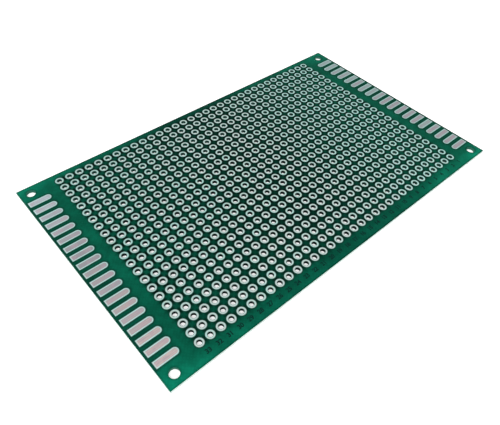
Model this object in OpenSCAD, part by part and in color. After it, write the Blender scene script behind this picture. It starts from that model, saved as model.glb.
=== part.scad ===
// Double-sided prototype board: a grid of plated holes with tinned rings, a row of
// solder fingers along each short end, and a plain hole in each corner.
// The board lies flat. The origin is the middle of its underside, X runs along the
// long side, and -Y is the side with the clear strip for the column numbers.

/* [Board] */
// Length of the board along X
board_l = 100; // [70:1:150]
// Width of the board along Y
board_w = 60; // [40:1:100]
// Thickness of the bare glass-epoxy laminate
laminate_t = 0.7; // [0.4:0.1:1.6]

/* [Solder mask] */
// Thickness of the cured mask film on each face
mask_t = 0.03; // [0.02:0.005:0.05]
// Bare gap between a pad's rim and the edge of its opening in the mask
mask_gap = 0.1; // [0.04:0.01:0.12]

/* [Plated holes] */
// Distance between neighbouring holes
pitch = 2.54; // [2.5:0.02:5.08]
// Finished diameter of a hole, inside its tinned barrel
hole_d = 1.1; // [0.8:0.05:1.25]
// Wall of the plated and tinned barrel
barrel_wall = 0.05; // [0.03:0.01:0.1]
// Width of the tinned ring round each hole
ring_w = 0.48; // [0.3:0.02:0.58]
// Height that the tin stands above the mask
tin_rise = 0.02; // [0.01:0.005:0.06]
// Size of the worn-off corner at the rims of the tin
tin_bevel = 0.02; // [0.01:0.005:0.025]
// Clear rim between the far long edge and the first row of rings
far_rim = 1.5; // [1:0.1:4]
// Least width of the clear strip for the column numbers, along the near long edge
number_strip = 2.6; // [2:0.1:8]

/* [Edge fingers] */
// Width of a finger
finger_w = 1.72; // [1:0.02:2.2]
// Length of a finger, from its square end to the tip of its round end
finger_l = 5.3; // [3:0.1:8]
// Distance between neighbouring fingers
finger_pitch = 2.71; // [2.54:0.01:5]
// Strip of board left between a short edge and the square ends
finger_setback = 0.5; // [0.2:0.05:1.5]
// Least gap between the fingers' round ends and the first rings
finger_ring_gap = 2; // [0.5:0.1:6]
// Least gap between the outermost fingers and the corner holes
finger_hole_gap = 0.9; // [0.5:0.1:3]

/* [Corner holes] */
// Diameter of the plain hole in each corner
corner_d = 2.1; // [1.5:0.1:2.8]
// Distance from a short edge to a corner hole's centre
corner_inset_x = 2.5; // [2:0.1:4]
// Distance from a long edge to a corner hole's centre
corner_inset_y = 2.3; // [2:0.1:4]

/* [Hidden] */
$fn = 48;

pad_t = mask_t + tin_rise;
pad_r = hole_d / 2 + ring_w;
drill_r = hole_d / 2 + barrel_wall;
opening_r = pad_r + mask_gap;

laminate_low = pad_t;
laminate_high = laminate_low + laminate_t;
board_t = laminate_high + pad_t;

grid_end_margin = finger_setback + finger_l + finger_ring_gap + pad_r;
columns = floor((board_l - 2 * grid_end_margin) / pitch) + 1;
rows = floor((board_w - far_rim - number_strip - 2 * pad_r) / pitch) + 1;
first_column_x = -(columns - 1) * pitch / 2;
first_row_y = board_w / 2 - far_rim - pad_r;

finger_side_margin = corner_inset_y + corner_d / 2 + finger_hole_gap;
fingers = floor((board_w - 2 * finger_side_margin - finger_w) / finger_pitch) + 1;
first_finger_y = -(fingers - 1) * finger_pitch / 2;

function row_name(row) = str("plated_holes_row_", row < 9 ? "0" : "", row + 1);

// Outline of the board, with its four corner holes
module board_outline() {
    difference() {
        square([board_l, board_w], center = true);
        for (side = [-1, 1], end = [-1, 1])
            translate([end * (board_l / 2 - corner_inset_x), side * (board_w / 2 - corner_inset_y)])
                circle(d = corner_d);
    }
}

// Places its children at each hole of one row
module along_row(row) {
    for (column = [0 : columns - 1])
        translate([first_column_x + column * pitch, first_row_y - row * pitch]) children();
}

// A circle at every hole of the grid
module hole_grid(r) {
    for (row = [0 : rows - 1]) along_row(row) circle(r = r);
}

// Outline of one finger, its square end on the Y axis and its round end along +X,
// grown all round by a margin
module finger_outline(margin = 0) {
    half_w = finger_w / 2 + margin;
    straight = finger_l - finger_w / 2;
    translate([-margin, -half_w]) square([straight + margin, 2 * half_w]);
    translate([straight, 0]) circle(r = half_w);
}

// The outlines of the fingers along one short end: -1 is the left end, 1 the right
module finger_row(end, margin = 0) {
    for (finger = [0 : fingers - 1])
        translate([end * (board_l / 2 - finger_setback), first_finger_y + finger * finger_pitch])
            rotate(end < 0 ? 0 : 180) finger_outline(margin);
}

// The glass-epoxy sheet with every drilled hole
module sheet() {
    color([0.28, 0.36, 0.2])
        translate([0, 0, laminate_low]) linear_extrude(laminate_t) difference() {
            board_outline();
            hole_grid(drill_r);
        }
}

// Film of green mask, open round every ring and finger
module solder_mask(low) {
    color([0.05, 0.4, 0.3])
        translate([0, 0, low]) linear_extrude(mask_t) difference() {
            board_outline();
            hole_grid(opening_r);
            finger_row(-1, mask_gap);
            finger_row(1, mask_gap);
        }
}

// Tinned barrel through the laminate with a ring on each face, in one piece
module plated_hole() {
    hole_r = hole_d / 2;
    rotate_extrude() polygon([
        [hole_r, tin_bevel],
        [hole_r + tin_bevel, 0],
        [pad_r - tin_bevel, 0],
        [pad_r, tin_bevel],
        [pad_r, laminate_low],
        [drill_r, laminate_low],
        [drill_r, laminate_high],
        [pad_r, laminate_high],
        [pad_r, board_t - tin_bevel],
        [pad_r - tin_bevel, board_t],
        [hole_r + tin_bevel, board_t],
        [hole_r, board_t - tin_bevel]
    ]);
}

// One row of plated holes
module plated_row(row) {
    color([0.78, 0.8, 0.8]) along_row(row) plated_hole();
}

// Tinned fingers of one short end, on one face
module edge_fingers(end, low) {
    color([0.75, 0.71, 0.72])
        translate([0, 0, low]) linear_extrude(pad_t) finger_row(end);
}

sheet();
solder_mask(laminate_high);  // solder_mask_top
solder_mask(laminate_low - mask_t);  // solder_mask_bottom
for (row = [0 : rows - 1])
    plated_row(row);
edge_fingers(-1, laminate_high);  // edge_fingers_left_top
edge_fingers(1, laminate_high);  // edge_fingers_right_top
edge_fingers(-1, 0);  // edge_fingers_left_bottom
edge_fingers(1, 0);  // edge_fingers_right_bottom
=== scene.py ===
"""Looks of a double-sided prototype board: green mask, tinned holes and fingers, cut glass-epoxy.

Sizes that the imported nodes' boxes give are read from them. Places are in the board's own frame:
X along the long side, -Y towards the strip with the column numbers, +Z out of the numbered face.
"""
import logging
import math
from dataclasses import dataclass
from enum import Enum

import bmesh
import bpy
from bpy.types import Material, Mesh, NodeOutputs, NodeSocket, NodeTree, Object, ShaderNode, ShaderNodeTree
from mathutils import Matrix, Vector


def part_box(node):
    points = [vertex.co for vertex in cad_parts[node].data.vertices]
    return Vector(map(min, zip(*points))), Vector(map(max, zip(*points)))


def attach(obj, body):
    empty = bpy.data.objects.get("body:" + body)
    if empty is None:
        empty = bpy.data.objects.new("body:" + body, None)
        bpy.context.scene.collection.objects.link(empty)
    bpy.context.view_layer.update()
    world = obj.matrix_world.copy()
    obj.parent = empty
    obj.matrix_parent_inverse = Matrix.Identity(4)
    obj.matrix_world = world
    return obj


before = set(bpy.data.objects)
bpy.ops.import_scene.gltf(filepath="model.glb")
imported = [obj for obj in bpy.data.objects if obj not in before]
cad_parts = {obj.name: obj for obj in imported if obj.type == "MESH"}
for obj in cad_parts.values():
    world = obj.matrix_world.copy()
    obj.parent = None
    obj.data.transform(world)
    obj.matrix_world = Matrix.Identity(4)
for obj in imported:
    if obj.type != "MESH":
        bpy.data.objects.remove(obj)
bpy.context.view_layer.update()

LOG = logging.getLogger("prototype_board")
MM = 0.001
BODY = "root"
Colour = tuple[float, float, float]
Place = tuple[float, float, float]
Input = NodeSocket | float | Colour
WHITE: Colour = (1.0, 1.0, 1.0)


class Slot(Enum):
    """The record's material slots."""

    SUBSTRATE = "substrate"
    SOLDER_MASK = "solder_mask"
    TIN = "tin"
    TIN_FINGERS = "tin_fingers"


class End(Enum):
    """The two short ends of the board."""

    LEFT = "left"
    RIGHT = "right"


class Face(Enum):
    """The two faces of the board."""

    TOP = "top"
    BOTTOM = "bottom"


@dataclass(frozen=True)
class Step:
    """A smooth step: one result at and below low, another at and above high."""

    low: float
    high: float
    start: float = 0.0
    end: float = 1.0


@dataclass(frozen=True)
class BoardSizes:
    """Sizes of the board in millimetres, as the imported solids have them.

    The sizes stated here are those that a node's box doesn't give.
    """

    half_length: float
    half_width: float
    mask_high: float
    laminate_low: float
    laminate_high: float
    pitch: float
    ring_radius: float
    columns: int
    rows: int
    first_x: float
    first_y: float
    finger_outer: float
    finger_length: float
    finger_reach: float
    hole_radius: float = 0.55
    finger_width: float = 1.72
    finger_pitch: float = 2.71
    corner_inset_x: float = 2.5
    corner_inset_y: float = 2.3
    corner_radius: float = 1.05

    @classmethod
    def from_frame(cls) -> "BoardSizes":
        """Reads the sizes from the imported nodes' boxes.

        Returns:
            The board's sizes.
        """
        rows = sorted(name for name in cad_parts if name.startswith("plated_holes_row_"))
        sheet_low, sheet_high = (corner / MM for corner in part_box("sheet"))
        row_low, row_high = (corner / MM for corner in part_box(rows[0]))
        last_low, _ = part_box(rows[-1])
        finger_low, finger_high = (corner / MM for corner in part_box("edge_fingers_right_top"))
        _, mask_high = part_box("solder_mask_top")
        ring_radius = (row_high.y - row_low.y) / 2
        pitch = (row_low.y - last_low.y / MM) / (len(rows) - 1)
        return cls(
            half_length=sheet_high.x,
            half_width=sheet_high.y,
            mask_high=mask_high.z / MM,
            laminate_low=sheet_low.z,
            laminate_high=sheet_high.z,
            pitch=pitch,
            ring_radius=ring_radius,
            columns=round((row_high.x - row_low.x - 2 * ring_radius) / pitch) + 1,
            rows=len(rows),
            first_x=row_low.x + ring_radius,
            first_y=row_high.y - ring_radius,
            finger_outer=finger_high.x,
            finger_length=finger_high.x - finger_low.x,
            finger_reach=finger_high.y,
        )

    @property
    def fingers(self) -> int:
        """How many fingers stand in one row."""
        return round((2 * self.finger_reach - self.finger_width) / self.finger_pitch) + 1


class NodeMaker:
    """Adds nodes to one shader tree and joins them, so that a material reads as a few lines."""

    def __init__(self, tree: NodeTree) -> None:
        """Keeps the node tree to build in."""
        self.tree = tree

    def add(self, kind: str, **settings: object) -> ShaderNode:
        """Adds a node.

        Args:
            kind: The node's Blender type.
            **settings: Properties to set on it.

        Returns:
            The new node.
        """
        node = self.tree.nodes.new(kind)
        for name, value in settings.items():
            setattr(node, name, value)
        return node

    def feed(self, socket: NodeSocket, value: Input) -> None:
        """Joins a socket to another, or sets its own value.

        Args:
            socket: The input to feed.
            value: Another node's output, a number or a colour.
        """
        if isinstance(value, NodeSocket):
            self.tree.links.new(value, socket)
        elif isinstance(value, tuple) and socket.type == "RGBA":
            socket.default_value = (*value, 1.0)
        else:
            socket.default_value = value

    def fill(self, node: ShaderNode, **inputs: Input) -> NodeOutputs:
        """Feeds several inputs of a node.

        Args:
            node: The node.
            **inputs: A value for each, by its name with _ for a space.

        Returns:
            The node's outputs.
        """
        for name, value in inputs.items():
            self.feed(node.inputs[name.replace("_", " ")], value)
        return node.outputs

    def math(self, operation: str, *values: Input, clamp: bool = False) -> NodeSocket:
        """One step of arithmetic on numbers.

        Args:
            operation: Blender's name for it.
            *values: One to three operands.
            clamp: Whether the result is kept between 0 and 1.

        Returns:
            The result.
        """
        node = self.add("ShaderNodeMath", operation=operation, use_clamp=clamp)
        for socket, value in zip(node.inputs, values):
            self.feed(socket, value)
        return node.outputs[0]

    def product(self, first: Input, *others: Input) -> NodeSocket:
        """Multiplies numbers.

        Args:
            first: A number.
            *others: More numbers.

        Returns:
            Their product.
        """
        for other in others:
            first = self.math("MULTIPLY", first, other)
        return first

    def average(self, first: Input, second: Input, share: float) -> NodeSocket:
        """A weighted average, in which the first number counts by its share and the second by the rest."""
        return self.math("MULTIPLY_ADD", first, share, self.math("MULTIPLY", second, 1.0 - share))

    def wave(self, angle: Input) -> NodeSocket:
        """A wave from 0 to 1 for an angle in radians."""
        return self.math("MULTIPLY_ADD", self.math("SINE", angle), 0.5, 0.5)

    def scaled(self, vector: NodeSocket, factor: Input) -> NodeSocket:
        """A vector multiplied by a number."""
        node = self.add("ShaderNodeVectorMath", operation="SCALE")
        return self.fill(node, Vector=vector, Scale=factor)["Vector"]

    def split(self, vector: NodeSocket) -> tuple[NodeSocket, ...]:
        """The X, Y and Z of a vector."""
        return tuple(self.fill(self.add("ShaderNodeSeparateXYZ"), Vector=vector))

    def joined(self, x: Input, y: Input, z: Input = 0.0) -> NodeSocket:
        """A vector of three numbers."""
        return self.fill(self.add("ShaderNodeCombineXYZ"), X=x, Y=y, Z=z)["Vector"]

    def length(self, vector: NodeSocket) -> NodeSocket:
        """The length of a vector."""
        node = self.add("ShaderNodeVectorMath", operation="LENGTH")
        return self.fill(node, Vector=vector)["Value"]

    def apart(self, across: Input, along: Input) -> NodeSocket:
        """How far two points lie apart, from their offsets along X and Y."""
        return self.length(self.joined(across, along))

    def ramp(self, value: Input, low: float, high: float, start: Input, end: Input) -> NodeSocket:
        """A smooth step: start where the value is at or below low, and end where it is at or above high."""
        node = self.add("ShaderNodeMapRange", interpolation_type="SMOOTHSTEP")
        return self.fill(node, Value=value, From_Min=low, From_Max=high, To_Min=start, To_Max=end)["Result"]

    def step(self, value: Input, step: Step, origin: float = 0.0) -> NodeSocket:
        """A smooth step with named numbers, whose places are measured from an origin."""
        return self.ramp(value, origin + step.low, origin + step.high, step.start, step.end)

    def mix(self, factor: Input, first: Input, second: Input, blend: str = "MIX") -> NodeSocket:
        """Mixes two colours.

        The node's sockets for colours have the same names as those for numbers, so they go by number.

        Args:
            factor: 0 gives the first, 1 the second.
            first: A colour.
            second: A colour.
            blend: Blender's name for the way they mix.

        Returns:
            The mixed colour.
        """
        node = self.add("ShaderNodeMix", data_type="RGBA", blend_type=blend, clamp_factor=True)
        for number, value in ((0, factor), (6, first), (7, second)):
            self.feed(node.inputs[number], value)
        return node.outputs[2]

    def tinted(self, colour: Input, tint: Input, mask: NodeSocket, share: Input) -> NodeSocket:
        """Lays a tint over a colour where a mask is 1, as strongly as its share says."""
        return self.mix(self.math("MULTIPLY", mask, share), colour, tint)

    def shaded(self, colour: NodeSocket, shade: NodeSocket) -> NodeSocket:
        """Multiplies a colour by a number."""
        return self.mix(1.0, colour, self.joined(shade, shade, shade), "MULTIPLY")

    def noise(
        self, position: NodeSocket, scale: float, detail: float = 2.0, rough: float = 0.5,
    ) -> NodeSocket:
        """Soft noise from 0 to 1, of so many lumps per millimetre, with layers of finer ones."""
        node = self.add("ShaderNodeTexNoise")
        return self.fill(node, Vector=position, Scale=scale, Detail=detail, Roughness=rough)["Fac"]

    def chance(self, cell: NodeSocket) -> NodeSocket:
        """A fixed random number from 0 to 1 for a cell, by its place in its grid."""
        node = self.add("ShaderNodeTexWhiteNoise", noise_dimensions="3D")
        return self.fill(node, Vector=cell)["Value"]

    def bump(self, height: NodeSocket, relief: float) -> NodeSocket:
        """The normal of a height from 0 to 1, of which 1 is the full relief in millimetres."""
        node = self.add("ShaderNodeBump")
        return self.fill(node, Height=height, Distance=relief * MM, Strength=1.0)["Normal"]


class GroupMaker(NodeMaker):
    """A node group that reads a position in millimetres, and may read other numbers."""

    def __init__(self, name: str, *numbers: str) -> None:
        """Starts the group.

        Args:
            name: The group's name.
            *numbers: The names of its inputs other than the position.
        """
        super().__init__(bpy.data.node_groups.new(name, "ShaderNodeTree"))
        for label, kind in (("Position", "Vector"), *((number, "Float") for number in numbers)):
            self.tree.interface.new_socket(name=label, in_out="INPUT", socket_type=f"NodeSocket{kind}")
        self.given = self.add("NodeGroupInput").outputs
        self.place = self.given["Position"]

    def nearest(
        self, value: NodeSocket, first: float, spacing: float, count: int, falling: float = 9.0,
    ) -> tuple[NodeSocket, NodeSocket, NodeSocket]:
        """Finds the nearest of a row of places.

        Args:
            value: Where along the row.
            first: The first place.
            spacing: From one place to the next.
            count: How many places.
            falling: How fast the next nearest recedes beyond the row's end, where there is none.

        Returns:
            The offset from the nearest place, the offset from the next nearest, and the place's number.
        """
        steps = self.math("DIVIDE", self.math("SUBTRACT", value, first), spacing)
        inside = self.math("MINIMUM", self.math("MAXIMUM", steps, 0.0), count - 1.0)
        number = self.math("ROUND", inside)
        off = self.math("SUBTRACT", steps, number)
        beyond = self.math("ABSOLUTE", self.math("SUBTRACT", steps, inside))
        other = self.math("ADD", self.math("SUBTRACT", 1.0, self.math("ABSOLUTE", off)),
                          self.math("MULTIPLY", beyond, falling))
        return self.math("MULTIPLY", off, spacing), self.math("MULTIPLY", other, abs(spacing)), number

    def returns(self, **outputs: NodeSocket) -> ShaderNodeTree:
        """Adds the group's outputs and joins the results to them.

        Args:
            **outputs: The number for each output, by name.

        Returns:
            The finished group.
        """
        for name in outputs:
            self.tree.interface.new_socket(name=name, in_out="OUTPUT", socket_type="NodeSocketFloat")
        self.fill(self.add("NodeGroupOutput"), **outputs)
        return self.tree


class MaterialMaker(NodeMaker):
    """A material with one Principled shader."""

    def __init__(self, name: str) -> None:
        """Starts the material.

        Args:
            name: The material's name.
        """
        self.material = bpy.data.materials.new(name)
        self.material.use_nodes = True
        super().__init__(self.material.node_tree)

    def finished(self, **inputs: Input) -> Material:
        """Feeds the shader, with _ for a space in an input's name, and hands over the material."""
        self.fill(self.tree.nodes["Principled BSDF"], **inputs)
        return self.material


class BoardMaker(MaterialMaker):
    """A material that reads its point in millimetres of the board's own frame."""

    def __init__(self, name: str) -> None:
        """Starts the material and finds the point."""
        super().__init__(name)
        self.place = self.scaled(self.add("ShaderNodeTexCoord").outputs["Object"], 1 / MM)

    def read(self, group: ShaderNodeTree, **inputs: Input) -> NodeOutputs:
        """The outputs of a group at the point, with a value for each of the group's other inputs."""
        node = self.add("ShaderNodeGroup", node_tree=group)
        return self.fill(node, Position=self.place, **inputs)


@dataclass(frozen=True)
class EdgeFinder:
    """How far a point lies from the board's short end, its long side and a corner hole's wall."""

    sizes: BoardSizes

    def build(self) -> ShaderNodeTree:
        """Builds the group.

        Returns:
            The group.
        """
        sizes = self.sizes
        make = GroupMaker("nearest_edge")
        x, y, _ = make.split(make.place)
        from_end = make.math("SUBTRACT", sizes.half_length, make.math("ABSOLUTE", x))
        from_side = make.math("SUBTRACT", sizes.half_width, make.math("ABSOLUTE", y))
        from_axis = make.apart(make.math("SUBTRACT", from_end, sizes.corner_inset_x),
                               make.math("SUBTRACT", from_side, sizes.corner_inset_y))
        return make.returns(
            End=from_end, Side=from_side, Drilling=make.math("SUBTRACT", from_axis, sizes.corner_radius))


@dataclass(frozen=True)
class HoleFinder:
    """How a point lies to the plated holes.

    Distance runs from the nearest hole's axis, Next from the rim of the next ring, and Each is a random
    number for the hole. The last output is a painted shade between two rings: black-green in the middle of
    the board, lighter near the numbers, and 1 away from the bridges.
    """

    sizes: BoardSizes
    bridge: tuple[float, float] = (0.28, 0.75)
    painted_bridge_shade: Step = Step(-26.0, -8.0, 0.40, 0.04)

    def build(self) -> ShaderNodeTree:
        """Builds the group.

        Returns:
            The group.
        """
        sizes = self.sizes
        make = GroupMaker("nearest_hole")
        x, y, _ = make.split(make.place)
        across, past_column, column = make.nearest(x, sizes.first_x, sizes.pitch, sizes.columns)
        along, past_row, row = make.nearest(y, sizes.first_y, -sizes.pitch, sizes.rows)
        next_axis = make.math("MINIMUM", make.apart(past_column, along), make.apart(across, past_row))
        next_ring = make.math("SUBTRACT", next_axis, sizes.ring_radius)
        return make.returns(
            Distance=make.apart(across, along),
            Next=next_ring,
            Each=make.chance(make.joined(column, row)),
            # Painted shade in the narrow bridges between two rings
            Bridge=make.ramp(next_ring, *self.bridge, make.step(y, self.painted_bridge_shade), 1.0))


@dataclass(frozen=True)
class FingerFinder:
    """How a point lies to the fingers.

    Distance and Next run outwards from the outlines of the nearest and the next finger, Side leaves the
    square end out of the distance, and Each is a random number for the finger.
    """

    sizes: BoardSizes
    seed: float = 7.0

    def build(self) -> ShaderNodeTree:
        """Builds the group.

        Returns:
            The group.
        """
        sizes = self.sizes
        half_width = sizes.finger_width / 2
        make = GroupMaker("nearest_finger")
        x, y, _ = make.split(make.place)
        inwards = make.math("SUBTRACT", sizes.finger_outer, make.math("ABSOLUTE", x))
        sideways, past_finger, number = make.nearest(
            y, half_width - sizes.finger_reach, sizes.finger_pitch, sizes.fingers)
        from_round = make.math("SUBTRACT", inwards, sizes.finger_length - half_width)
        past_round = make.math("MAXIMUM", from_round, 0.0)
        side, beside = (make.math("SUBTRACT", make.apart(past_round, offset), half_width)
                        for offset in (sideways, past_finger))
        outwards = make.math("MULTIPLY", inwards, -1.0)
        return make.returns(
            Distance=make.math("MAXIMUM", side, outwards),
            Side=side,
            Next=make.math("MAXIMUM", beside, outwards),
            Each=make.chance(make.joined(number, make.math("SIGN", x), self.seed)))


@dataclass(frozen=True)
class GlassCloth:
    """The plain weave of the glass cloth under the surface: a height and a shade, each from 0 to 1."""

    wander_scale: float = 0.35
    wander_detail: float = 1.0
    warp_drift: float = 0.5
    weft_drift: float = 0.7

    @staticmethod
    def _yarns(make: GroupMaker, across: NodeSocket, wander: NodeSocket, drift: float) -> NodeSocket:
        """One set of yarns, which a noise bends by up to a drift in millimetres: a wave from 0 to 1."""
        bent = make.math("MULTIPLY_ADD", wander, drift, across)
        return make.wave(make.math("MULTIPLY", make.math("DIVIDE", bent, make.given["Yarn"]), math.pi))

    def build(self) -> ShaderNodeTree:
        """Builds the group.

        Returns:
            The group.
        """
        make = GroupMaker("glass_cloth", "Yarn")
        wander = make.noise(make.place, self.wander_scale, self.wander_detail)
        x, y, _ = make.split(make.place)
        warp = self._yarns(make, x, wander, self.warp_drift)
        weft = self._yarns(make, y, wander, self.weft_drift)
        over = make.math("ABSOLUTE", make.math("SUBTRACT", warp, weft))
        height = make.math("MULTIPLY", make.math("ADD", make.math("MULTIPLY", warp, weft), over), 0.5)
        return make.returns(Height=height, Shade=over)


@dataclass(frozen=True)
class SurfaceGrain:
    """Broad mottling, fine grain and small scattered specks, each from 0 to 1."""

    mottle_detail: float = 3.0
    mottle_rough: float = 0.55
    fine_scale: float = 9.0
    fine_rough: float = 0.6
    speck_size: Step = Step(0.05, 0.16, 1.0, 0.0)
    speckless: float = 0.93

    def build(self) -> ShaderNodeTree:
        """Builds the group.

        Returns:
            The group.
        """
        make = GroupMaker("surface_grain", "Lumps", "Specks")
        lumps = make.scaled(make.place, make.given["Lumps"])
        mottle = make.noise(lumps, 1.0, self.mottle_detail, self.mottle_rough)
        fine = make.noise(make.place, self.fine_scale, rough=self.fine_rough)
        cells = make.add("ShaderNodeTexVoronoi", feature="F1", voronoi_dimensions="3D")
        cell = make.fill(cells, Vector=make.scaled(make.place, make.given["Specks"]), Scale=1.0)
        rare = make.math("GREATER_THAN", make.chance(cell["Position"]), self.speckless)
        speck = make.math("MULTIPLY", make.step(cell["Distance"], self.speck_size), rare)
        return make.returns(Mottle=mottle, Fine=fine, Speck=speck)


@dataclass(frozen=True)
class SurfaceGroups:
    """The node groups that several finishes share."""

    edges: ShaderNodeTree
    holes: ShaderNodeTree
    fingers: ShaderNodeTree
    cloth: ShaderNodeTree
    grain: ShaderNodeTree

    @classmethod
    def build(cls, sizes: BoardSizes) -> "SurfaceGroups":
        """Builds each group once.

        Args:
            sizes: The board's sizes.

        Returns:
            The groups.
        """
        return cls(
            edges=EdgeFinder(sizes).build(),
            holes=HoleFinder(sizes).build(),
            fingers=FingerFinder(sizes).build(),
            cloth=GlassCloth().build(),
            grain=SurfaceGrain().build(),
        )


@dataclass(frozen=True)
class BoardItem:
    """A part or a finish of the board, which goes by the board's sizes and the shared node groups."""

    sizes: BoardSizes
    groups: SurfaceGroups


@dataclass(frozen=True)
class SolderMaskFinish(BoardItem):
    """Semi-gloss green film with painted shade, darkest in the middle and between the rings, and painted
    light, palest at the corners.

    A step is in millimetres from what its name says. Those whose name has left or right, and not end,
    are places along the board's X, and those of the grain and weave read a value from 0 to 1.
    """

    name: str = "green_solder_mask"
    # The darkest green is painted shade for the middle of the board, the palest painted light for its
    # corners
    painted_shade_green: Colour = (0.0008, 0.036, 0.022)
    body: Colour = (0.0016, 0.096, 0.055)
    rim: Colour = (0.0022, 0.148, 0.086)
    speck: Colour = (0.02, 0.16, 0.11)
    speck_share: float = 0.5
    middle: float = 2.0
    # These steps lay that painted shade and light over the board
    near_side: Step = Step(0.0, 14.0, 0.85, 0.0)
    near_middle: Step = Step(5.0, 24.0, 0.65, 1.0)
    far_side: Step = Step(-5.0, -1.0, 0.0, 0.55)
    far_middle: Step = Step(8.0, 24.0, 0.1, 1.0)
    corner: Step = Step(0.0, 11.0, 1.0, 0.0)
    # The strip steps lay painted light on the ends of the strip with the numbers
    strip: Step = Step(2.0, 3.4, 1.0, 0.0)
    strip_left: Step = Step(-40.0, -26.0, 0.15, 0.0)
    strip_right: Step = Step(18.0, 34.0, 0.0, 0.38)
    strip_far_right: Step = Step(45.0, 50.0, 1.0, 0.0)
    # These steps lay painted shade beside and between the rings, fingers and cuts and towards the right end,
    # and painted light near the long sides
    ring: Step = Step(0.05, 0.45, 0.75, 1.0)
    next_ring: Step = Step(0.50, 1.30, 0.70, 1.0)
    right_end: Step = Step(-14.0, -4.0, 1.0, 0.93)
    finger: Step = Step(0.10, 0.65, 0.62, 1.0)
    next_finger: Step = Step(0.40, 1.20, 0.75, 1.0)
    cut: tuple[float, float] = (0.05, 0.55)
    cut_left_to_right: Step = Step(-10.0, 10.0, 0.72, 0.55)
    long_side: Step = Step(0.4, 3.0, 1.15, 0.93)
    opening: Step = Step(0.1, 0.3)
    mottle: Step = Step(0.25, 0.75, 0.84, 1.18)
    cloud: Step = Step(0.3, 0.7, 0.90, 1.10)
    cloud_scale: float = 0.9
    weave: Step = Step(0.0, 1.0, 0.95, 1.05)
    yarn: float = 0.42
    lumps: float = 0.16
    specks: float = 1.3
    roughness: Step = Step(0.2, 0.8, 0.39, 0.53)
    specular: float = 0.02
    weave_height: float = 0.3
    grain_height: float = 0.25
    relief: float = 0.012

    def _film(self, make: BoardMaker, edges: NodeOutputs) -> NodeSocket:
        """The green with painted shade in the middle and painted light towards the ends, the sides and the
        corners, before the painted shade near the tin and the cuts.

        Args:
            make: The maker for the material.
            edges: How far the point lies from the cuts.

        Returns:
            The colour.
        """
        x, y, _ = make.split(make.place)
        off_middle = make.math("ABSOLUTE", x)
        towards_end = make.ramp(off_middle, self.middle, self.sizes.half_length, 0.0, 1.0)
        towards_near = make.product(
            make.step(y, self.near_side, -self.sizes.half_width), make.step(off_middle, self.near_middle))
        towards_far = make.product(
            make.step(y, self.far_side, self.sizes.half_width), make.step(off_middle, self.far_middle))
        pale = make.math("MAXIMUM", towards_end, make.math("MAXIMUM", towards_near, towards_far))
        corner = make.step(make.apart(edges["End"], edges["Side"]), self.corner)
        return make.mix(corner, make.mix(pale, self.painted_shade_green, self.body), self.rim)

    def _painted_strip_light(self, make: BoardMaker) -> NodeSocket:
        """Painted light: how much lighter the strip with the numbers is towards its ends.

        Args:
            make: The maker for the material.

        Returns:
            A factor of 1 or more.
        """
        x, y, _ = make.split(make.place)
        right = make.product(make.step(x, self.strip_right), make.step(x, self.strip_far_right))
        lift = make.math("ADD", make.step(x, self.strip_left), right)
        in_strip = make.step(y, self.strip, -self.sizes.half_width)
        return make.math("ADD", 1.0, make.product(in_strip, lift))

    def build(self) -> Material:
        """Builds the material.

        Returns:
            The material.
        """
        make = BoardMaker(self.name)
        x, _, _ = make.split(make.place)
        edges, hole, finger = (
            make.read(group) for group in (self.groups.edges, self.groups.holes, self.groups.fingers))
        cloth = make.read(self.groups.cloth, Yarn=self.yarn)
        grain = make.read(self.groups.grain, Lumps=self.lumps, Specks=self.specks)
        from_ring = make.math("SUBTRACT", hole["Distance"], self.sizes.ring_radius)
        from_tin = make.math("MINIMUM", from_ring, finger["Distance"])
        from_cut = make.math("MINIMUM", make.math("MINIMUM", edges["End"], edges["Side"]), edges["Drilling"])

        # Painted shade by the tin, the bridges, the cuts and the right end, painted light by the long sides
        # and the strip's ends; the mottle, clouds and weave are the film's own tone
        shade = make.product(
            make.step(from_ring, self.ring),
            hole["Bridge"],
            make.step(hole["Next"], self.next_ring),
            make.step(x, self.right_end, self.sizes.half_length),
            make.step(finger["Distance"], self.finger),
            make.step(finger["Next"], self.next_finger),
            make.ramp(from_cut, *self.cut, make.step(x, self.cut_left_to_right), 1.0),
            make.step(edges["Side"], self.long_side),
            self._painted_strip_light(make),
            make.step(grain["Mottle"], self.mottle),
            make.step(make.noise(make.place, self.cloud_scale), self.cloud),
            make.step(cloth["Shade"], self.weave))
        green = make.shaded(self._film(make, edges), shade)
        lip = make.step(from_tin, self.opening)
        height = make.math("MULTIPLY_ADD", grain["Fine"], self.grain_height,
                           make.average(cloth["Height"], lip, self.weave_height))
        return make.finished(
            Base_Color=make.tinted(green, self.speck, grain["Speck"], self.speck_share),
            Roughness=make.step(grain["Fine"], self.roughness),
            Specular_IOR_Level=self.specular,
            Normal=make.bump(height, self.relief))


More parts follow.
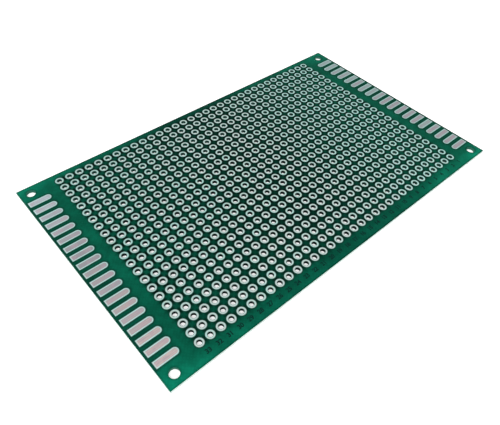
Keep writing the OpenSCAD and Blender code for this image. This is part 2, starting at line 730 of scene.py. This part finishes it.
@dataclass(frozen=True)
class SubstrateFinish(BoardItem):
    """Glass-epoxy: dark behind the mask's openings, with painted shade in the bridges between rings, pale
    and layered on its cut edges, and layered but darker in its holes, from drilling dust and painted shade.
    """

    name: str = "glass_epoxy_sheet"
    face: Colour = (0.003, 0.036, 0.023)
    face_yarn: Colour = (0.005, 0.052, 0.034)
    edge: Colour = (0.80, 0.93, 0.89)
    edge_layer: Colour = (0.67, 0.83, 0.77)
    # The drilled colours are darker than the cut edge: partly drilling dust, partly painted shade in the
    # holes
    drilled: Colour = (0.026, 0.165, 0.115)
    drilled_layer: Colour = (0.048, 0.210, 0.150)
    speck: Colour = (0.3, 0.34, 0.24)
    speck_share: float = 0.35
    yarn: float = 0.42
    lumps: float = 1.2
    specks: float = 2.0
    layers_per_mm: float = 5.5
    layer_wander: float = 0.12
    below_face: Step = Step(0.0005, 0.004)
    drilling: Step = Step(0.1, 0.3, 1.0, 0.0)
    roughness: Step = Step(0.0, 1.0, 0.62, 0.82)
    specular: float = 0.08
    grain_height: float = 0.6
    relief: float = 0.02

    def build(self) -> Material:
        """Builds the material.

        Returns:
            The material.
        """
        make = BoardMaker(self.name)
        _, _, z = make.split(make.place)
        edges, hole = make.read(self.groups.edges), make.read(self.groups.holes)
        cloth = make.read(self.groups.cloth, Yarn=self.yarn)
        grain = make.read(self.groups.grain, Lumps=self.lumps, Specks=self.specks)

        depth = make.math("MULTIPLY_ADD", grain["Mottle"], self.layer_wander, z)
        layer = make.wave(make.math("MULTIPLY", depth, 2 * math.pi * self.layers_per_mm))
        inside = make.math("MINIMUM", make.math("SUBTRACT", z, self.sizes.laminate_low),
                           make.math("SUBTRACT", self.sizes.laminate_high, z))
        # Painted shade in the bridges between rings darkens the bare face
        bare = make.shaded(make.mix(cloth["Shade"], self.face, self.face_yarn), hole["Bridge"])
        cut = make.mix(layer, self.edge, self.edge_layer)
        colour = make.mix(make.step(inside, self.below_face), bare, cut)
        # Drilling dust and painted shade darken the walls of the corner holes
        dusty_shaded_wall = make.mix(layer, self.drilled, self.drilled_layer)
        colour = make.mix(make.step(edges["Drilling"], self.drilling), colour, dusty_shaded_wall)
        return make.finished(
            Base_Color=make.tinted(colour, self.speck, grain["Speck"], self.speck_share),
            Roughness=make.step(layer, self.roughness),
            Specular_IOR_Level=self.specular,
            Normal=make.bump(make.average(grain["Fine"], layer, self.grain_height), self.relief))


@dataclass(frozen=True)
class TinnedHoleFinish(BoardItem):
    """Levelled tin on the rings: a soft crown with painted shade at its inner lip and outer rim, dull
    patches, painted shade towards the left, and barrels painted dark inside as painted shade.

    The steps whose name has left, right or far are places along the board's X or Y. Those of the lip
    and the wall are measured from the hole's radius, and that of the rim from the ring's.
    """

    name: str = "levelled_tin"
    bright: Colour = (0.84, 1.0, 0.97)
    dull: Colour = (0.56, 0.86, 0.81)
    creamy: Colour = (0.90, 0.92, 0.72)
    minty: Colour = (0.56, 1.0, 0.93)
    # The inner lip and outer rim colours are painted shade on the crown's edges
    painted_inner_shade: Colour = (0.27, 0.38, 0.35)
    painted_outer_shade: Colour = (0.01, 0.14, 0.11)
    # The barrel colours are painted shade for the inside of the holes
    painted_barrel_shade: Colour = (0.003, 0.011, 0.009)
    painted_far_barrel_shade: Colour = (0.012, 0.062, 0.048)
    speck: Colour = (0.25, 0.27, 0.25)
    speck_share: float = 0.6
    each_share: float = 0.35
    worn: Step = Step(0.3, 0.85)
    # These steps lay painted shade that dulls the tin towards the far left
    painted_shade_share: float = 0.55
    painted_shade_towards_far: Step = Step(-22.0, 0.0)
    painted_shade_left: Step = Step(-35.0, 5.0, 1.0, 0.0)
    minty_right: Step = Step(0.0, 35.0, 0.0, 0.7)
    shaded_left: Step = Step(-42.0, -5.0, 0.90, 1.0)
    blotch: Step = Step(0.52, 0.66, 0.0, 0.45)
    blotch_scale: float = 1.4
    # The lip and rim steps place the painted shade on the crown's edges
    lip: Step = Step(0.0, 0.18, 0.85, 0.0)
    rim: Step = Step(-0.16, 0.0)
    wall: Step = Step(0.002, 0.03, 1.0, 0.0)
    barrel_right: Step = Step(0.0, 35.0)
    barrel_far: Step = Step(5.0, 25.0)
    lumps: float = 2.2
    specks: float = 3.0
    metallic: float = 0.9
    barrel_metallic: float = 0.02
    roughness: Step = Step(0.2, 0.8, 0.30, 0.52)
    barrel_roughness: float = 0.2
    specular: float = 0.06
    mottle_height: float = 0.35
    relief: float = 0.03

    def _tin(self, make: BoardMaker, each: NodeSocket, worn: NodeSocket) -> NodeSocket:
        """The tin's colour on the flat of a ring, with painted shade towards the far left and on the left.

        Args:
            make: The maker for the material.
            each: The hole's random number.
            worn: How worn the tin is.

        Returns:
            The colour.
        """
        x, y, _ = make.split(make.place)
        # Painted shade dulls the tin towards the far left, on top of its random wear
        side = make.product(make.step(y, self.painted_shade_towards_far), make.step(x, self.painted_shade_left))
        wear_and_painted_shade = make.math("MULTIPLY_ADD", side, self.painted_shade_share, make.step(worn, self.worn), clamp=True)
        colour = make.mix(wear_and_painted_shade, self.bright, self.dull)
        colour = make.mix(make.step(x, self.minty_right), colour, self.minty)
        blotch = make.step(make.noise(make.place, self.blotch_scale), self.blotch)
        colour = make.tinted(colour, self.creamy, blotch, each)
        # Painted shade darkens the tin on the left
        return make.shaded(colour, make.step(x, self.shaded_left))

    def _crown(self, make: BoardMaker, radius: NodeSocket) -> NodeSocket:
        """The round of the tin between the hole and the ring's rim.

        Args:
            make: The maker for the material.
            radius: How far the point lies from the hole's axis.

        Returns:
            A height from 0 to 1.
        """
        middle = (self.sizes.hole_radius + self.sizes.ring_radius) / 2
        half_ring = (self.sizes.ring_radius - self.sizes.hole_radius) / 2
        off = make.math("DIVIDE", make.math("SUBTRACT", radius, middle), half_ring)
        return make.math("SUBTRACT", 1.0, make.math("MULTIPLY", off, off), clamp=True)

    def build(self) -> Material:
        """Builds the material.

        Returns:
            The material.
        """
        make = BoardMaker(self.name)
        x, y, _ = make.split(make.place)
        hole = make.read(self.groups.holes)
        grain = make.read(self.groups.grain, Lumps=self.lumps, Specks=self.specks)
        radius = hole["Distance"]
        worn = make.average(hole["Each"], grain["Mottle"], self.each_share)
        wall = make.step(radius, self.wall, self.sizes.hole_radius)

        colour = self._tin(make, hole["Each"], worn)
        # Painted shade on the crown's inner lip and outer rim
        colour = make.mix(make.step(radius, self.lip, self.sizes.hole_radius), colour, self.painted_inner_shade)
        colour = make.mix(make.step(radius, self.rim, self.sizes.ring_radius), colour, self.painted_outer_shade)
        # Painted shade inside the barrels: near black, a little lighter towards the right and the far side
        away = make.math("MAXIMUM", make.step(x, self.barrel_right), make.step(y, self.barrel_far))
        colour = make.mix(wall, colour, make.mix(away, self.painted_barrel_shade, self.painted_far_barrel_shade))
        height = make.math("MULTIPLY_ADD", grain["Mottle"], self.mottle_height, self._crown(make, radius))
        return make.finished(
            Base_Color=make.tinted(colour, self.speck, grain["Speck"], self.speck_share),
            Metallic=make.math("MULTIPLY_ADD", wall, self.barrel_metallic - self.metallic, self.metallic),
            Specular_IOR_Level=self.specular,
            Roughness=make.math("ADD", make.step(worn, self.roughness),
                                make.math("MULTIPLY", wall, self.barrel_roughness)),
            Normal=make.bump(height, self.relief))


@dataclass(frozen=True)
class TinnedFingerFinish(BoardItem):
    """Levelled tin on the fingers: drawn out along the finger, a rosy grey field, a painted highlight round
    it and a painted shade at its very edge.

    The fingers on the right get painted shade that makes them greyer, and each row is dullest near its
    middle. The steps of the painted highlight, the rim and the crown are millimetres from the finger's
    outline, those within it being negative.
    """

    name: str = "levelled_tin_fingers"
    rosy: Colour = (0.77, 0.62, 0.59)
    cool: Colour = (0.68, 0.79, 0.87)
    dull: Colour = (0.37, 0.36, 0.39)
    # The right end's colours are painted shade: greyer and darker
    right_painted_shade: Colour = (0.40, 0.55, 0.54)
    lilac: Colour = (0.50, 0.46, 0.51)
    blush: Colour = (0.62, 0.46, 0.53)
    # The pale colours are a painted highlight along the tin's rounded sides, dimmer on the right end
    painted_highlight: Colour = (0.60, 0.89, 0.85)
    right_painted_highlight: Colour = (0.54, 0.89, 0.83)
    # The rim colour is painted shade where the tin's edge falls away
    rim: Colour = (0.05, 0.18, 0.15)
    speck: Colour = (0.22, 0.21, 0.21)
    speck_share: float = 0.6
    each_share: float = 0.3
    hue: Step = Step(0.1, 0.9)
    hue_along_row: float = 0.6
    right_hue: Step = Step(0.35, 0.65)
    right_hue_along_row: float = -0.25
    right_share: float = 0.9
    dullest_y: float = 5.0
    dullness: float = 0.75
    patch_share: float = 0.5
    blotch: Step = Step(0.45, 0.62, 0.0, 0.5)
    blotch_scale: float = 0.9
    drawn_along: float = 0.35
    drawn_across: float = 5.0
    drawn_detail: float = 3.0
    streak: Step = Step(0.35, 0.65, 0.0, 0.45)
    painted_highlight_edge: Step = Step(-0.36, -0.20)
    square_end: float = 0.55
    rim_edge: Step = Step(-0.14, -0.03)
    lumps: float = 0.7
    specks: float = 2.4
    metallic: float = 0.85
    roughness: Step = Step(0.3, 0.7, 0.34, 0.52)
    crown: Step = Step(-0.3, 0.0, 1.0, 0.0)
    drawn_height: float = 0.25
    relief: float = 0.03

    def _field(self, make: BoardMaker, patch: NodeSocket, on_right: NodeSocket) -> NodeSocket:
        """The tin's colour inside the painted highlight, with painted shade at the right end.

        Args:
            make: The maker for the material.
            patch: A mottling that differs from finger to finger.
            on_right: 1 at the right end of the board, else 0.

        Returns:
            The colour.
        """
        _, y, _ = make.split(make.place)
        along_row = make.math("DIVIDE", y, self.sizes.half_width)
        hue = make.math("MULTIPLY_ADD", along_row, self.hue_along_row, patch)
        colour = make.mix(make.step(hue, self.hue), self.rosy, self.cool)
        off_dullest = make.math("ABSOLUTE", make.math("SUBTRACT", y, self.dullest_y))
        from_dullest = make.math("DIVIDE", off_dullest, self.sizes.half_width)
        tarnish = make.math("ADD", make.math("MULTIPLY", patch, self.patch_share),
                            make.math("SUBTRACT", self.dullness, from_dullest), clamp=True)
        colour = make.mix(tarnish, colour, self.dull)
        blotch = make.noise(make.scaled(make.place, self.blotch_scale), 1.0)
        colour = make.mix(make.step(blotch, self.blotch), colour, self.blush)
        # Painted shade at the right end: greyer, darker colours
        right_hue = make.math("MULTIPLY_ADD", along_row, self.right_hue_along_row, patch)
        right = make.mix(make.step(right_hue, self.right_hue), self.right_painted_shade, self.lilac)
        return make.tinted(colour, right, on_right, self.right_share)

    def build(self) -> Material:
        """Builds the material.

        Returns:
            The material.
        """
        make = BoardMaker(self.name)
        x, y, z = make.split(make.place)
        finger = make.read(self.groups.fingers)
        grain = make.read(self.groups.grain, Lumps=self.lumps, Specks=self.specks)
        stretched = make.joined(make.math("MULTIPLY", x, self.drawn_along),
                                make.math("MULTIPLY", y, self.drawn_across), z)
        drawn = make.noise(stretched, 1.0, self.drawn_detail)
        patch = make.average(finger["Each"], grain["Mottle"], self.each_share)
        on_right = make.math("GREATER_THAN", x, 0.0)

        colour = self._field(make, patch, on_right)
        colour = make.mix(make.step(drawn, self.streak), colour, self.dull)
        # A painted highlight along the finger's sides and round end, dimmer on the right end
        along_sides, round_outline = (
            make.step(finger[name], self.painted_highlight_edge) for name in ("Side", "Distance"))
        painted_highlight = make.math("MAXIMUM", along_sides, make.math("MULTIPLY", round_outline, self.square_end))
        colour = make.mix(painted_highlight, colour, make.mix(on_right, self.painted_highlight, self.right_painted_highlight))
        # Painted shade at the tin's outer edge
        colour = make.mix(make.step(finger["Distance"], self.rim_edge), colour, self.rim)
        crown = make.step(finger["Distance"], self.crown)
        height = make.math("MULTIPLY_ADD", drawn, self.drawn_height, crown)
        return make.finished(
            Base_Color=make.tinted(colour, self.speck, grain["Speck"], self.speck_share),
            Metallic=self.metallic,
            Roughness=make.step(drawn, self.roughness),
            Normal=make.bump(height, self.relief))


@dataclass(frozen=True)
class InkFinish:
    """Thin dark marking ink that lets some of the green through."""

    groups: SurfaceGroups
    name: str = "marking_ink"
    thick: Colour = (0.0012, 0.016, 0.014)
    thin: Colour = (0.0015, 0.042, 0.031)
    patch: Step = Step(0.35, 0.7)
    fine_share: float = 0.5
    lumps: float = 1.6
    specks: float = 4.0
    roughness: Step = Step(0.2, 0.8, 0.5, 0.7)
    specular: float = 0.04
    relief: float = 0.003

    def build(self) -> Material:
        """Builds the material.

        Returns:
            The material.
        """
        make = BoardMaker(self.name)
        grain = make.read(self.groups.grain, Lumps=self.lumps, Specks=self.specks)
        patchy = make.average(grain["Fine"], grain["Mottle"], self.fine_share)
        return make.finished(
            Base_Color=make.mix(make.step(patchy, self.patch), self.thick, self.thin),
            Roughness=make.step(grain["Fine"], self.roughness),
            Specular_IOR_Level=self.specular,
            Normal=make.bump(grain["Fine"], self.relief))


@dataclass(frozen=True)
class FloorFinish:
    """White that the camera and tin see as plain white, and that still takes the board's shadow.

    The glow grows from the board outwards, over a step in metres.
    """

    name: str = "floor_white"
    white: Colour = (0.86, 0.86, 0.86)
    glow: Step = Step(0.2, 1.2, 0.38, 0.60)
    roughness: float = 0.9
    specular: float = 0.0

    def build(self) -> Material:
        """Builds the material.

        Returns:
            The material.
        """
        make = MaterialMaker(self.name)
        path = make.add("ShaderNodeLightPath").outputs
        seen = make.math("MAXIMUM", path["Is Camera Ray"], make.math(
            "MAXIMUM", path["Is Glossy Ray"], path["Is Transmission Ray"]))
        far_out = make.length(make.add("ShaderNodeTexCoord").outputs["Object"])
        return make.finished(
            Base_Color=self.white,
            Roughness=self.roughness,
            Specular_IOR_Level=self.specular,
            Emission_Color=WHITE,
            Emission_Strength=make.product(seen, make.step(far_out, self.glow)))


def dress(node: str, material: Material, slot: Slot) -> None:
    """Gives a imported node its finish.

    Args:
        node: The node's name.
        material: The finish.
        slot: The record's slot that it stands for.
    """
    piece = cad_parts[node]
    for place in piece.material_slots:
        place.material = material
    LOG.info("dressed %d places of %s with %s for %s",
             len(piece.material_slots), node, material.name, slot.value)


@dataclass(frozen=True)
class BareSheet(BoardItem):
    """The drilled glass-epoxy sheet with its two films of mask."""

    def dress(self) -> None:
        """Dresses the sheet and both films."""
        dress("sheet", SubstrateFinish(self.sizes, self.groups).build(), Slot.SUBSTRATE)
        mask = SolderMaskFinish(self.sizes, self.groups).build()
        for face in Face:
            dress(f"solder_mask_{face.value}", mask, Slot.SOLDER_MASK)


@dataclass(frozen=True)
class PlatedGrid(BoardItem):
    """The rows of plated holes."""

    def dress(self) -> None:
        """Dresses every row."""
        tin = TinnedHoleFinish(self.sizes, self.groups).build()
        for row in range(1, self.sizes.rows + 1):
            dress(f"plated_holes_row_{row:02d}", tin, Slot.TIN)


@dataclass(frozen=True)
class EdgeFingers(BoardItem):
    """The rows of solder fingers, on both ends and both faces."""

    def dress(self) -> None:
        """Dresses every row."""
        tin = TinnedFingerFinish(self.sizes, self.groups).build()
        for face in Face:
            for end in End:
                dress(f"edge_fingers_{end.value}_{face.value}", tin, Slot.TIN_FINGERS)


@dataclass(frozen=True)
class ColumnNumbers(BoardItem):
    """A plain number in ink under each column of holes, counted from the right.

    Sizes are in millimetres. Figure share is a figure's height in a font size of 1.
    """

    height: float = 0.95
    figure_share: float = 0.7
    spacing: float = 0.95
    stroke: float = 0.05
    curve_steps: int = 3
    from_edge: float = 1.8
    aside: float = 0.35
    ink: float = 0.006
    sunk: float = 0.002
    weld: float = 1e-5
    name: str = "column_numbers"

    def _number(self, number: int) -> Mesh:
        """Makes one number as a thin closed mesh about its own middle.

        Args:
            number: The number.

        Returns:
            The mesh, in millimetres, its lower face at Z 0.
        """
        half_depth = (self.ink + self.sunk) / 2
        text = bpy.data.curves.new(f"number_{number}", "FONT")
        text.body = str(number)
        text.size = self.height / self.figure_share
        text.space_character = self.spacing
        text.align_x = "CENTER"
        text.align_y = "CENTER"
        text.resolution_u = self.curve_steps
        text.offset = self.stroke
        text.extrude = half_depth
        holder = bpy.data.objects.new(text.name, text)
        mesh = bpy.data.meshes.new_from_object(holder)
        bpy.data.objects.remove(holder)
        bpy.data.curves.remove(text)
        mesh.transform(Matrix.Translation((0, 0, half_depth)))
        return mesh

    def build(self) -> Object:
        """Builds all the numbers as one piece.

        Returns:
            The piece.
        """
        print_mesh = bmesh.new()
        for column in range(self.sizes.columns):
            number = self._number(self.sizes.columns - column)
            x = self.sizes.first_x + column * self.sizes.pitch + self.aside
            number.transform(Matrix.Translation(
                (x, self.from_edge - self.sizes.half_width, self.sizes.mask_high - self.sunk)))
            print_mesh.from_mesh(number)
            bpy.data.meshes.remove(number)
        bmesh.ops.remove_doubles(print_mesh, verts=print_mesh.verts, dist=self.weld)
        bmesh.ops.recalc_face_normals(print_mesh, faces=print_mesh.faces)
        bmesh.ops.scale(print_mesh, vec=(MM, MM, MM), verts=print_mesh.verts)
        mesh = bpy.data.meshes.new(self.name)
        print_mesh.to_mesh(mesh)
        print_mesh.free()
        piece = bpy.data.objects.new(self.name, mesh)
        bpy.context.scene.collection.objects.link(piece)
        mesh.materials.append(InkFinish(self.groups).build())
        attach(piece, BODY)
        LOG.info("built %s with %d faces", self.name, len(mesh.polygons))
        return piece


@dataclass(frozen=True)
class Lamp:
    """A square soft lamp aimed at the board, in metres and watts."""

    name: str
    place: Place
    size: float
    power: float

    def build(self) -> None:
        """Puts the lamp in the scene."""
        light = bpy.data.lights.new(self.name, "AREA")
        light.size = self.size
        light.energy = self.power
        lamp = bpy.data.objects.new(self.name, light)
        lamp.location = self.place
        lamp.rotation_mode = "QUATERNION"
        lamp.rotation_quaternion = (-Vector(self.place)).to_track_quat("-Z", "Y")
        bpy.context.scene.collection.objects.link(lamp)


@dataclass(frozen=True)
class Surround:
    """A surround that the camera sees white, and that tin mirrors white low down and dim overhead.

    The horizon is where the white gives way: 0 is level and 1 is straight up.
    """

    light: float = 0.55
    overhead: float = 0.57
    horizon: tuple[float, float] = (0.05, 0.5)

    def build(self) -> None:
        """Makes the surround the scene's world."""
        world = bpy.data.worlds.new("surround")
        world.use_nodes = True
        bpy.context.scene.world = world
        make = NodeMaker(world.node_tree)
        path = make.add("ShaderNodeLightPath").outputs
        seen = make.math("MAXIMUM", path["Is Camera Ray"], path["Is Transmission Ray"])
        _, _, up = make.split(make.add("ShaderNodeTexCoord").outputs["Generated"])
        mirrored = make.ramp(up, *self.horizon, 1.0 - self.light, self.overhead - self.light)
        level = make.math("MULTIPLY_ADD", seen, 1.0 - self.light, self.light)
        level = make.math("MULTIPLY_ADD", path["Is Glossy Ray"], mirrored, level)
        make.fill(world.node_tree.nodes["Background"], Color=WHITE, Strength=level)


@dataclass(frozen=True)
class Studio:
    """A pale floor, soft lamps and an even surround, in metres."""

    floor_size: float = 4.0
    lamps: tuple[Lamp, ...] = (
        Lamp("key_lamp", (-0.30, -0.20, 0.50), 0.45, 2.4),
        Lamp("fill_lamp", (0.50, -0.40, 0.45), 0.50, 0.9),
        Lamp("back_lamp", (-0.30, 0.55, 0.40), 0.60, 0.9),
    )

    def _floor(self) -> None:
        """Lays the floor under the board."""
        sheet = bmesh.new()
        bmesh.ops.create_grid(sheet, x_segments=1, y_segments=1, size=self.floor_size / 2)
        mesh = bpy.data.meshes.new("floor")
        sheet.to_mesh(mesh)
        sheet.free()
        mesh.materials.append(FloorFinish().build())
        floor = bpy.data.objects.new("floor", mesh)
        bpy.context.scene.collection.objects.link(floor)

    def build(self) -> None:
        """Builds the floor, the lamps and the surround."""
        self._floor()
        for lamp in self.lamps:
            lamp.build()
        Surround().build()
        LOG.info("built the studio with %d lamps", len(self.lamps))


@dataclass(frozen=True)
class PhotoCamera:
    """The camera at the photograph's place.

    Its place, aim, lens and sensor are in millimetres, and the nearest and farthest that it sees in metres.
    """

    place: Place = (-65.108, -61.342, 84.593)
    aim: Place = (-12.491, -7.863, 0.8)
    roll_degrees: float = 4.282
    lens: float = 35.863
    sensor: float = 36.0
    nearest: float = 0.005
    farthest: float = 20.0
    name: str = "photo_camera"

    def build(self) -> Object:
        """Builds the camera and makes it the scene's.

        Returns:
            The camera.
        """
        data = bpy.data.cameras.new(self.name)
        data.lens = self.lens
        data.sensor_width = self.sensor
        data.clip_start = self.nearest
        data.clip_end = self.farthest
        camera = bpy.data.objects.new(self.name, data)
        place, aim = Vector(self.place) * MM, Vector(self.aim) * MM
        camera.location = place
        camera.rotation_mode = "QUATERNION"
        roll = Matrix.Rotation(math.radians(self.roll_degrees), 4, "Z").to_quaternion()
        camera.rotation_quaternion = (aim - place).to_track_quat("-Z", "Y") @ roll
        bpy.context.scene.collection.objects.link(camera)
        bpy.context.scene.camera = camera
        LOG.info("placed the camera with a %.1f mm lens", self.lens)
        return camera


def main() -> None:
    """Builds the board's looks and the studio round it."""
    logging.basicConfig(level=logging.INFO, format="%(name)s: %(message)s")
    bpy.context.scene.view_settings.view_transform = "Standard"
    sizes = BoardSizes.from_frame()
    groups = SurfaceGroups.build(sizes)
    PhotoCamera().build()
    BareSheet(sizes, groups).dress()
    PlatedGrid(sizes, groups).dress()
    EdgeFingers(sizes, groups).dress()
    ColumnNumbers(sizes, groups).build()
    Studio().build()


if __name__ == "__main__":
    main()
